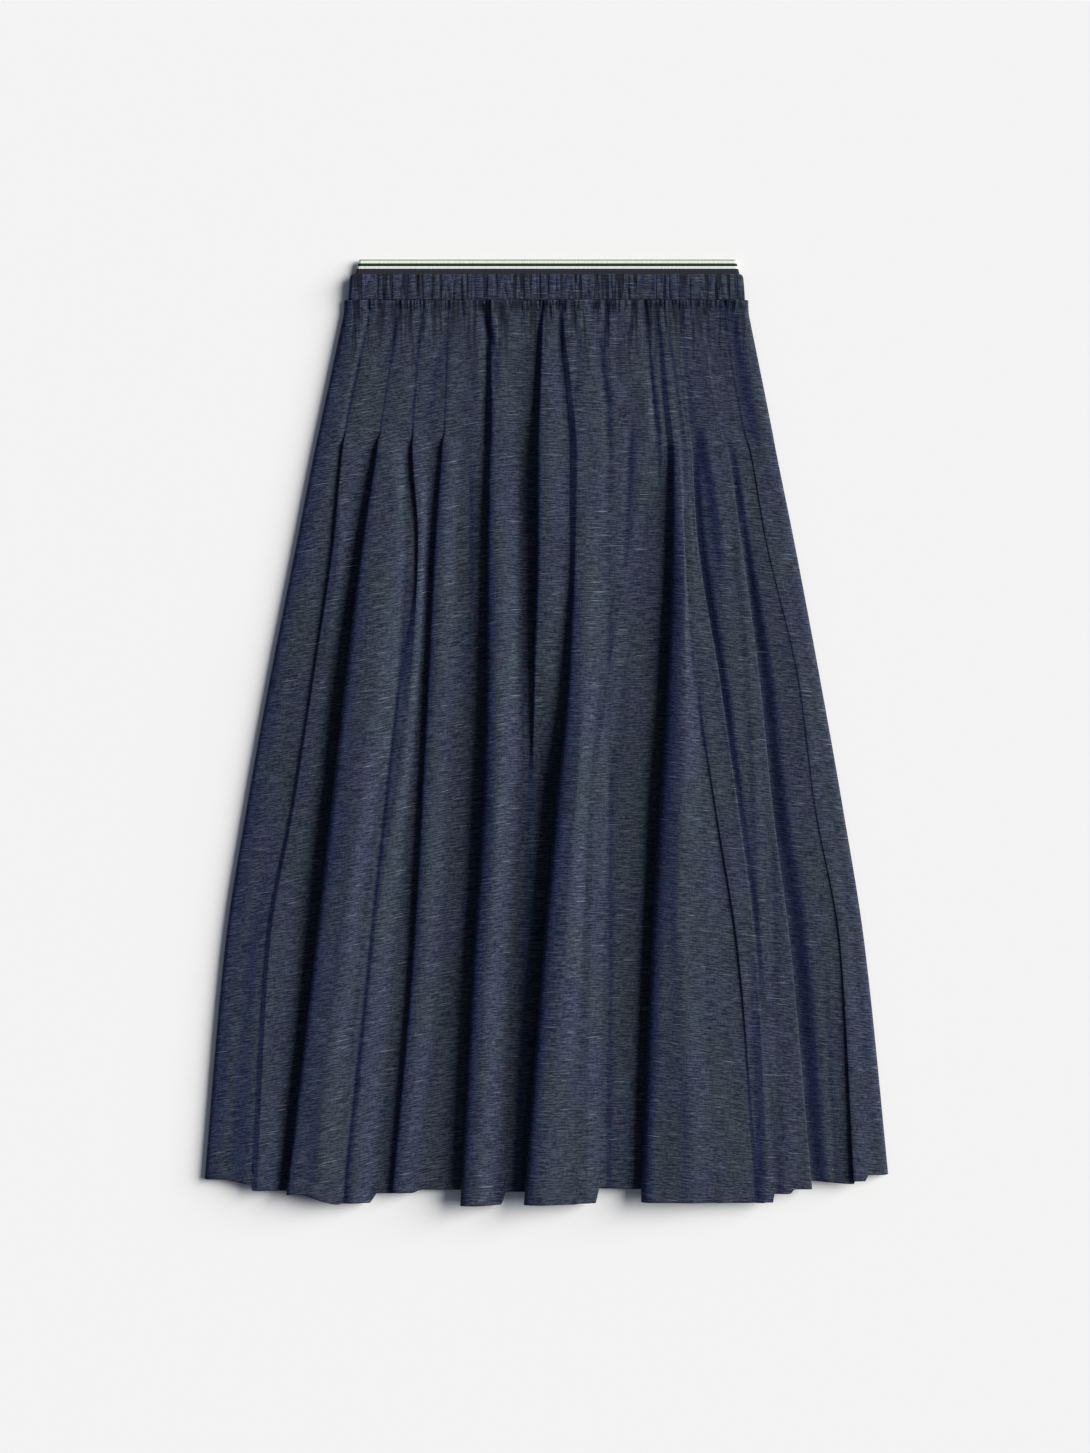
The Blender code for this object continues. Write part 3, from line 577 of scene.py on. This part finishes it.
def set_uv(mesh, coords):
    """Gives the mesh a UV map from each vertex's own (u, v)."""
    layer = mesh.uv_layers.new(name="UVMap")
    for loop in mesh.loops:
        layer.data[loop.index].uv = coords[loop.vertex_index]


def grid_mesh(name, rows, uvs):
    """A mesh through rows of points in millimetres, with its front side up."""
    mesh = bpy.data.meshes.new(name)
    count = len(rows[0])
    points = [[c * MM for c in point] for row in rows for point in row]
    faces = []
    for r in range(len(rows) - 1):
        for c in range(count - 1):
            a = r * count + c
            faces.append((a, a + count, a + count + 1, a + 1))
    mesh.from_pydata(points, [], faces)
    set_uv(mesh, [uv for row in uvs for uv in row])
    mesh.shade_smooth()
    return mesh


def add_piece(name, mesh):
    piece = bpy.data.objects.new(name, mesh)
    bpy.context.scene.collection.objects.link(piece)
    return piece


def thicken(piece, wall):
    """Gives a sheet its wall, half of it to each side."""
    solid = piece.modifiers.new("Wall", "SOLIDIFY")
    solid.thickness = wall * MM
    solid.offset = 0.0
    solid.use_even_offset = False
    bpy.ops.object.select_all(action="DESELECT")
    piece.select_set(True)
    bpy.context.view_layer.objects.active = piece
    bpy.ops.object.modifier_apply(modifier="Wall")
    piece.data.shade_smooth()


def mark_facing(piece):
    """Marks how far the cloth faces right, below zero where it faces left, as the attribute 'facing', from
    which the denim paints shade on either side.
    """
    mesh = piece.data
    marks = mesh.attributes.new("facing", "FLOAT", "POINT")
    for vertex in mesh.vertices:
        marks.data[vertex.index].value = vertex.normal.x


WEFT_TILT = (0.17, 0.10)  # how much the weft leans in the left pleats and in the right ones
TILT_FROM = 85.0  # millimetres of cloth from the centre front


def weft_v(u, y):
    """The weft's own height for the cloth at arc length u from the centre front and height y."""
    left = max(-u - TILT_FROM, 0.0)
    right = max(u - TILT_FROM, 0.0)
    return y + WEFT_TILT[0] * left + WEFT_TILT[1] * right


def uv_row(row):
    """The cloth's own coordinates along one row of its points."""
    reach = [0.0]
    for before, point in zip(row, row[1:]):
        reach.append(reach[-1] + math.hypot(point[0] - before[0], point[2] - before[2]))
    middle = reach[len(reach) // 2]
    return [((s - middle) * MM, weft_v(s - middle, point[1]) * MM) for s, point in zip(reach, row)]


def finish_sheet(name, rows, denim, replaced):
    """A denim sheet through these rows of points, in the place of a CAD node."""
    piece = add_piece(name, grid_mesh(name, rows, [uv_row(row) for row in rows]))
    thicken(piece, WALL)
    mark_facing(piece)
    piece.data.materials.append(denim)
    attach(piece, "root")
    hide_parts(replaced)
    return piece


def hem_felt(level):
    """How much of the hem's drop is felt at a height, from 0 to 1."""
    return ease((HEM_LEVEL + HEM_FADE - level) / HEM_FADE)


def panel_rows(folds, levels, z_seam, z_inner, rolls, finish):
    """Rows of points of a panel with its folds. finish gives the lift of each point."""
    counts = span_counts(folds)
    rows = []
    for level in levels:
        left, right = at_level(LEFT_SIDE, level), at_level(RIGHT_SIDE, level)
        row = []
        for x, z, drop, loose in section(folds, counts, level, z_seam, z_inner, rolls):
            y = level - drop * hem_felt(level)
            row.append((x, y, z + finish(x, y, level, (x - left) / (right - left), loose)))
        rows.append(row)
    return rows


def heights_down(*runs):
    """Heights through runs of (from, to, count), each evenly spaced."""
    heights = []
    for top, bottom, count in runs:
        heights += [mix(top, bottom, k / count) for k in range(count)]
    return heights + [runs[-1][1]]


def make_front_panel(denim):
    top = WAIST_SEAM - SEAM_GAP / 2
    drawn_up = top - 9
    before_opening = STITCHED_TO + 8
    opened = STITCHED_TO - 20
    over_turn = HEM_LEVEL + HEM_TURN + 2
    levels = heights_down((top, drawn_up, 10), (drawn_up, before_opening, 22), (before_opening, opened, 8),
                          (opened, over_turn, 54), (over_turn, HEM_LEVEL, 9))
    rows = panel_rows(FRONT_FOLDS, levels, FRONT_SEAM, SIDE_HIGH, SIDE_ROLL, front_finish)
    piece = finish_sheet("skirt_front", rows, denim, "front_panel")
    return piece


def back_folds():
    """Rows like those of FRONT_FOLDS for both sides of the back."""
    shared = dict(low=(BACK_INNER,) * len(LEVELS), high=(BACK_OUTER,) * len(LEVELS), nose=0.5, broad=1,
                  fall=(0, 0.35), hem=(BACK_HEM_DROP,) * 2, step=0.5)
    left = [dict(shared, opens="left", x=[-x for x in row["x"]], under=row["under"]) for row in BACK_HALF]
    right = [dict(shared, opens="right", x=row["x"], under=row["under"]) for row in reversed(BACK_HALF)]
    right[-1]["hem"] = (BACK_CORNER_DROP,) * 2
    return left + right


def make_back_panel(denim):
    levels = heights_down((WAIST_SEAM - SEAM_GAP / 2, HEM_LEVEL, 59))
    rows = panel_rows(back_folds(), levels, SIDE_EDGE, (BACK_OUTER,) * 2, (BACK_ROLL,) * 2, back_finish)
    piece = finish_sheet("skirt_back", rows, denim, "back_panel")
    return piece


# ---- The waist ----

CASING_COLUMNS = 460
CASING_ROWS = 22
CASING_PUCKERS = 44
PUCKER_DEPTH = 1.0
PUCKER_SHARP = 0.55  # below 1, the cloth between two puckers is broad and the puckers are narrow
PUCKER_ENDS = 0.3  # the share of a pucker's depth that is left at the casing's edges
CASING_BULGE = 0.9
CASING_FLAT = 0.02  # the share of its depth at either edge over which it doesn't bulge further
CASING_END = 3.0  # width over which the front casing comes down at its ends
CASING_END_DROP = 2.6
CASING_CORNER = 3.5  # radius of its top corners
BACK_BULGE = 0.2
BACK_PUCKERS = 0.8


def pucker(share, along):
    """The height, from 0 in a pucker to 1 between them, at a share across and a share down the casing.

    The sines of its number n make each pucker's slant, length and depth a little different.
    """
    k = share * CASING_PUCKERS + 0.42 * math.sin(19 * share + 1) + 0.3 * math.sin(47 * share)
    n = math.floor(k + 0.5)
    k += (along - 0.5) * (0.9 * math.sin(2.7 * n) ** 3)
    n = math.floor(k + 0.5)
    reach = 0.45 + 0.55 * math.sin(1.7 * n + 0.4)
    fades_at = 0 if math.sin(5.1 * n) > 0 else 1
    ends = mix(1.0, ease(abs(along - fades_at) * 1.4), max(reach, 0.0))
    depth = (0.45 + 0.55 * abs(math.sin(2.3 * n + 1.1))) * ends
    if abs(k - n) >= 0.5:
        return 1.0
    return 1 - depth * (1 - abs(math.sin(math.pi * (k + 0.5 - n))) ** PUCKER_SHARP)


def casing_rows(z_low, bulge, depth, end_drop):
    """Rows of points of a casing's wall from its top edge to the waist seam."""
    bottom = WAIST_SEAM + SEAM_GAP / 2
    rows = []
    for r in range(CASING_ROWS + 1):
        along = r / CASING_ROWS
        left, right = mix(*CASING_LEFT, along), mix(*CASING_RIGHT, along)
        row = []
        for c in range(CASING_COLUMNS + 1):
            share = c / CASING_COLUMNS
            x = mix(left, right, share)
            arch = math.sin(math.pi * min(max(along, CASING_FLAT), 1 - CASING_FLAT)) ** 0.5
            z = z_low + bulge * arch + depth * mix(PUCKER_ENDS, 1, arch) * pucker(share, along)
            from_end = max(min(x - left, right - x), 0.0)
            z -= end_drop * (1 - math.sin(min(from_end / CASING_END, 1) * math.pi / 2))
            corner = min(max(CASING_CORNER - from_end, 0.0), CASING_CORNER)
            top = CASING_TOP - CASING_CORNER + math.sqrt(CASING_CORNER ** 2 - corner ** 2)
            row.append((x, mix(top, bottom, along), z))
        rows.append(row)
    return rows


def make_casings(denim):
    front = casing_rows(CASING_LOW + WALL / 2, CASING_BULGE, PUCKER_DEPTH, CASING_END_DROP)
    piece = finish_sheet("waist_casing_front", front, denim, "front_casing")
    back = casing_rows(WALL / 2, BACK_BULGE, BACK_PUCKERS, 0.0)
    piece = finish_sheet("waist_casing_back", back, denim, "back_casing")


# ---- Stitching ----

STITCH_LENGTH = 2.3
STITCH_WIDTH = 0.42
STITCH_PITCH = 3.1
STITCH_BEND = 0.5  # how far a stitch's ends dip into the cloth
STITCH_INSET = 2.0  # of the seam's first and last stitches
STEEPEST = 0.5  # the least upward part of the cloth's normal where a stitch still shows
HEM_COLUMN = 2.0  # width of the columns in which the hem's stitches lie on the topmost cloth
PLEAT_STITCHES = (1.2, 3.2)  # the two rows beside a stitched pleat's edge
SEAM_STITCHES = 1.3  # above the waist seam
PLEATS = ("left_1", "left_2", "left_3", "left_4", "right_4", "right_3", "right_2", "right_1")


def one_stitch():
    """The points and faces of one stitch of thread, along X, in millimetres."""
    bpy.ops.object.select_all(action="DESELECT")
    along_x = (0, math.pi / 2, 0)
    bpy.ops.mesh.primitive_uv_sphere_add(segments=6, ring_count=5, radius=0.5, rotation=along_x)
    seed = bpy.context.active_object
    bpy.ops.object.transform_apply(location=True, rotation=True, scale=True)
    points = []
    for vertex in seed.data.vertices:
        x, y, z = vertex.co
        points.append((x * STITCH_LENGTH, y * STITCH_WIDTH, z * STITCH_WIDTH - STITCH_BEND * x * x))
    faces = [tuple(face.vertices) for face in seed.data.polygons]
    bpy.data.objects.remove(seed)
    return points, faces


def stitch_runs():
    """The paths of the stitching, as lists of (x, y) in millimetres."""
    runs = []
    folds = {fold["name"]: fold for fold in FRONT_FOLDS}
    for name in PLEATS:
        side = 1 if folds[name]["opens"] == "left" else -1
        for away in PLEAT_STITCHES:
            heights = heights_down((WAIST_SEAM - SEAM_BAND, STITCHED_TO + 1, 30))
            runs.append([(at_level(folds[name]["x"], y) + side * away, y) for y in heights])
    seam = WAIST_SEAM + SEAM_STITCHES
    runs.append([(CASING_LEFT[1] + STITCH_INSET, seam), (CASING_RIGHT[1] - STITCH_INSET, seam)])
    level = HEM_LEVEL + HEM_TURN
    counts = span_counts(FRONT_FOLDS)
    best = {}
    for x, z, drop, _ in section(FRONT_FOLDS, counts, level, FRONT_SEAM, SIDE_HIGH, SIDE_ROLL):
        column = round(x / HEM_COLUMN)
        if column not in best or z > best[column][1]:
            best[column] = (x, z, level - drop * hem_felt(level))
    runs.append([(best[column][0], best[column][2]) for column in sorted(best)])
    return runs


def along_run(run):
    """Places (x, y, angle) at every stitch of a path."""
    places = []
    left_over = STITCH_PITCH / 2
    for (x0, y0), (x1, y1) in zip(run, run[1:]):
        length = math.hypot(x1 - x0, y1 - y0)
        angle = math.atan2(y1 - y0, x1 - x0)
        at = left_over
        while at < length:
            places.append((mix(x0, x1, at / length), mix(y0, y1, at / length), angle))
            at += STITCH_PITCH
        left_over = at - length
    return places


def make_stitching(thread, *sheets):
    """One piece of all the stitches that show on the front."""
    points, faces = one_stitch()
    trees = []
    for sheet in sheets:
        corners = [vertex.co for vertex in sheet.data.vertices]
        trees.append(BVHTree.FromPolygons(corners, [face.vertices for face in sheet.data.polygons]))
    all_points, all_faces = [], []
    for run in stitch_runs():
        for x, y, angle in along_run(run):
            above = Vector((x * MM, y * MM, 1.0))
            hits = [tree.ray_cast(above, Vector((0, 0, -1))) for tree in trees]
            hits = [hit for hit in hits if hit[0] is not None]
            if not hits:
                continue
            spot, normal = max(((hit[0], hit[1]) for hit in hits), key=lambda pair: pair[0].z)
            if normal.z < STEEPEST:
                continue
            ahead = Vector((math.cos(angle), math.sin(angle), 0))
            ahead = (ahead - normal * ahead.dot(normal)).normalized()
            across = normal.cross(ahead)
            base = len(all_points)
            for px, py, pz in points:
                all_points.append(spot + (ahead * px + across * py + normal * pz) * MM)
            all_faces += [tuple(base + i for i in face) for face in faces]
    mesh = bpy.data.meshes.new("seam_stitching")
    mesh.from_pydata(all_points, [], all_faces)
    mesh.shade_smooth()
    piece = add_piece("seam_stitching", mesh)
    piece.data.materials.append(thread)
    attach(piece, "root")


# ---- Materials ----


def new_material(name, roughness):
    material = bpy.data.materials.new(name)
    material.use_nodes = True
    shader = material.node_tree.nodes["Principled BSDF"]
    shader.inputs["Roughness"].default_value = roughness
    shader.inputs["Specular IOR Level"].default_value = 0.2
    return material, material.node_tree, shader


class Nodes:
    """Short ways to add the nodes of one material."""

    def __init__(self, tree):
        self.nodes, self.links = tree.nodes, tree.links

    def put(self, socket, value):
        if hasattr(value, "links"):
            self.links.new(value, socket)
        else:
            socket.default_value = value

    def noise(self, vector, scale, detail):
        """Noise with its own scale along each axis."""
        place = self.nodes.new("ShaderNodeMapping")
        place.inputs["Scale"].default_value = scale
        noise = self.nodes.new("ShaderNodeTexNoise")
        noise.inputs["Scale"].default_value = 1.0
        noise.inputs["Detail"].default_value = detail
        self.links.new(vector, place.inputs["Vector"])
        self.links.new(place.outputs["Vector"], noise.inputs["Vector"])
        return noise.outputs["Fac"]

    def between(self, value, low, high):
        """0 at low, 1 at high, and an even rise between."""
        limit = self.nodes.new("ShaderNodeMapRange")
        limit.inputs["From Min"].default_value = low
        limit.inputs["From Max"].default_value = high
        self.links.new(value, limit.inputs["Value"])
        return limit.outputs["Result"]

    def sum_of(self, start, *terms):
        """start plus each (mask, weight), with the mask's middle of 0.5 taken as nothing."""
        total = start - sum(weight * 0.5 for _, weight in terms)
        for mask, weight in terms:
            node = self.nodes.new("ShaderNodeMath")
            node.operation = "MULTIPLY_ADD"
            self.put(node.inputs[0], mask)
            self.put(node.inputs[1], weight)
            self.put(node.inputs[2], total)
            total = node.outputs[0]
        return self.between(total, 0.0, 1.0)

    def combine(self, operation, first, second):
        node = self.nodes.new("ShaderNodeMath")
        node.operation = operation
        self.put(node.inputs[0], first)
        self.put(node.inputs[1], second)
        return node.outputs[0]

    def product(self, first, second):
        return self.combine("MULTIPLY", first, second)

    def larger(self, first, second):
        return self.combine("MAXIMUM", first, second)

    def blend(self, factor, first, second, kind="MIX"):
        node = self.nodes.new("ShaderNodeMix")
        node.data_type = "RGBA"
        node.blend_type = kind
        node.clamp_result = True
        self.put(node.inputs["Factor"], factor)
        self.put(node.inputs[6], first)
        self.put(node.inputs[7], second)
        return node.outputs[2]

    def bump(self, height, strength, distance, shader):
        node = self.nodes.new("ShaderNodeBump")
        node.inputs["Strength"].default_value = strength
        node.inputs["Distance"].default_value = distance
        self.links.new(height, node.inputs["Height"])
        self.links.new(node.outputs["Normal"], shader.inputs["Normal"])


# Each noise's waves in a metre across and down the cloth
WEFT = (75.0, 1150.0, 1.0)
SHORT_WEFT = (260.0, 1050.0, 1.0)
WARP = (1050.0, 120.0, 1.0)
SLUB = (48.0, 1100.0, 1.0)
PATCH = (22.0, 11.0, 1.0)
WIDE = (60.0, 30.0, 1.0)
GATHER_NOISE = (150.0, 15.0, 1.0)
SEAM_NOISE = (360.0, 60.0, 1.0)
CASING_NOISE = (270.0, 14.0, 1.0)
# The yarns, each in the cloth's bluer and in its greyer patches, and the colours of the painted shade
DARK_YARN = ((0.0071, 0.0101, 0.0247, 1), (0.0084, 0.0128, 0.0228, 1))
LIGHT_YARN = ((0.0530, 0.0634, 0.1064, 1), (0.0520, 0.0695, 0.0912, 1))
# Painted shade: a darker, bluer cloth, in dark and light yarn, where the cloth faces left, away from the
# light
LEFT_FACING_PAINTED_SHADE = ((0.0070, 0.0125, 0.0400, 1), (0.042, 0.060, 0.138, 1))  # dark and light, where it faces left
SLUB_YARN = (0.140, 0.162, 0.195, 1)
# Painted shade: the colour is dimmed where the cloth faces right, toward the light
RIGHT_FACING_PAINTED_SHADE = (0.80, 0.82, 0.86, 1)  # what the colour is multiplied by where the cloth faces right
# Painted shade: the near-black blue that darkens the troughs of the small gathers by the waist
GATHER_PAINTED_SHADE = (0.0030, 0.0042, 0.0105, 1)
# Where the painted shade on left-facing and on right-facing cloth starts, and where it is full
FACES_LEFT = (-0.02, -0.26)  # the facing where these start, and where they are full
FACES_RIGHT = (0.04, 0.30)
SEAM_LINE = (0.3655, 0.3660)  # heights in metres over which the panel passes into the casing
DRAWN_FROM = (0.296, 0.350)  # heights over which the gathers grow toward the waist
SEAM_FROM = (0.355, 0.358)
LINE_DEPTH = 5.0  # of a drawn gather, where the weave's own depth is 1


def make_denim():
    material, tree, shader = new_material("slub_denim", 0.9)
    add = Nodes(tree)
    uv = tree.nodes.new("ShaderNodeUVMap")
    uv.uv_map = "UVMap"
    uv = uv.outputs["UV"]
    facing = tree.nodes.new("ShaderNodeAttribute")
    facing.attribute_name = "facing"
    facing = facing.outputs["Fac"]

    weft = add.noise(uv, WEFT, 1.0)
    short_weft = add.noise(uv, SHORT_WEFT, 1.0)
    warp = add.noise(uv, WARP, 1.0)
    slub = add.noise(uv, SLUB, 1.0)
    wide = add.noise(uv, WIDE, 2.0)
    patch = add.between(add.noise(uv, PATCH, 2.0), 0.38, 0.62)

    thread = add.sum_of(0.385, (weft, 2.5), (short_weft, 1.9), (warp, 0.9), (wide, 0.2))
    cloth = add.blend(thread, add.blend(patch, *DARK_YARN), add.blend(patch, *LIGHT_YARN))
    # Painted shade, darker and bluer, where the cloth faces left, away from the light
    cloth = add.blend(add.between(facing, *FACES_LEFT), cloth, add.blend(thread, *LEFT_FACING_PAINTED_SHADE))
    # Painted shade that dims the cloth where it faces right, toward the light
    cloth = add.blend(add.between(facing, *FACES_RIGHT), cloth, RIGHT_FACING_PAINTED_SHADE, "MULTIPLY")
    cloth = add.blend(add.between(slub, 0.68, 0.76), cloth, SLUB_YARN)

    # The small gathers under the waist seam and in the casing, as a bump and as painted shade in their
    # troughs
    place = tree.nodes.new("ShaderNodeTexCoord").outputs["Object"]
    split = tree.nodes.new("ShaderNodeSeparateXYZ")
    add.put(split.inputs[0], place)
    height = split.outputs["Y"]
    casing = add.between(height, *SEAM_LINE)
    panel = add.between(height, *reversed(SEAM_LINE))
    drawn = add.product(add.between(add.noise(place, GATHER_NOISE, 1.0), 0.52, 0.38),
                        add.product(panel, add.between(height, *DRAWN_FROM)))
    seam = add.product(add.between(add.noise(place, SEAM_NOISE, 0.0), 0.54, 0.40),
                       add.product(panel, add.between(height, *SEAM_FROM)))
    puckered = add.product(add.between(add.noise(place, CASING_NOISE, 0.0), 0.44, 0.33), casing)
    lines = add.larger(add.product(drawn, 0.8), add.larger(seam, puckered))
    # Painted shade in the troughs of the gathers
    cloth = add.blend(add.product(lines, 0.75), cloth, GATHER_PAINTED_SHADE)
    add.put(shader.inputs["Base Color"], cloth)
    add.bump(add.combine("SUBTRACT", thread, add.product(lines, LINE_DEPTH)), 0.35, 0.0004, shader)
    return material


def make_elastic():
    """Striped elastic: the stripes run along X, at their own heights up the band."""
    material, tree, shader = new_material("striped_elastic", 0.8)
    add = Nodes(tree)
    place = tree.nodes.new("ShaderNodeTexCoord").outputs["Object"]
    split = tree.nodes.new("ShaderNodeSeparateXYZ")
    add.put(split.inputs[0], place)
    ribs = add.noise(place, (900.0, 60.0, 60.0), 2.0)
    colour = ELASTIC_NAVY
    for height, stripe in ELASTIC_STRIPES:
        edge = add.between(split.outputs["Y"], (height - STRIPE_SOFT) * MM, (height + STRIPE_SOFT) * MM)
        colour = add.blend(edge, colour, stripe)
    colour = add.blend(add.between(ribs, 0.35, 0.65), colour, RIB_SHADE, "MULTIPLY")
    add.put(shader.inputs["Base Color"], colour)
    add.bump(ribs, 0.5, 0.0004, shader)
    node = bpy.data.objects["elastic_band"]
    for slot in node.material_slots:
        slot.material = material


def make_thread():
    material, tree, shader = new_material("navy_thread", 0.7)
    add = Nodes(tree)
    place = tree.nodes.new("ShaderNodeTexCoord").outputs["Object"]
    twist = add.noise(place, (1500.0, 1500.0, 1500.0), 1.0)
    colour = add.blend(twist, (0.012, 0.016, 0.034, 1), (0.040, 0.050, 0.080, 1))
    add.put(shader.inputs["Base Color"], colour)
    add.bump(twist, 0.3, 0.0002, shader)
    return material


# ---- Set ----


def make_set():
    bpy.ops.mesh.primitive_plane_add(size=FLOOR_SIZE, location=(0, 0, 0))
    floor = bpy.context.active_object
    floor.name = "floor"
    material, _, shader = new_material("pale_floor", 0.95)
    shader.inputs["Base Color"].default_value = FLOOR_COLOUR
    floor.data.materials.append(material)

    sun = bpy.data.lights.new("soft_light", "SUN")
    sun.energy = SUN_STRENGTH
    sun.color = SUN_COLOUR
    sun.angle = SUN_SPREAD
    lamp = bpy.data.objects.new("soft_light", sun)
    lamp.rotation_euler = Vector(SUN_FROM).to_track_quat("Z", "Y").to_euler()
    bpy.context.scene.collection.objects.link(lamp)

    world = bpy.data.worlds.new("studio")
    world.use_nodes = True
    sky = world.node_tree.nodes["Background"]
    sky.inputs["Strength"].default_value = SKY_STRENGTH
    sky.inputs["Color"].default_value = SKY_COLOUR
    bpy.context.scene.world = world
    bpy.context.scene.view_settings.view_transform = "Standard"

    lens = bpy.data.cameras.new("camera")
    lens.lens = LENS_MM
    lens.sensor_width = SENSOR_MM
    camera = bpy.data.objects.new("camera", lens)
    camera.location = (*CAMERA_PLACE, CAMERA_HEIGHT)
    bpy.context.scene.collection.objects.link(camera)
    bpy.context.scene.camera = camera


make_set()
make_elastic()
denim = make_denim()
front = make_front_panel(denim)
make_back_panel(denim)
make_casings(denim)
make_stitching(make_thread(), front, bpy.data.objects["waist_casing_front"])
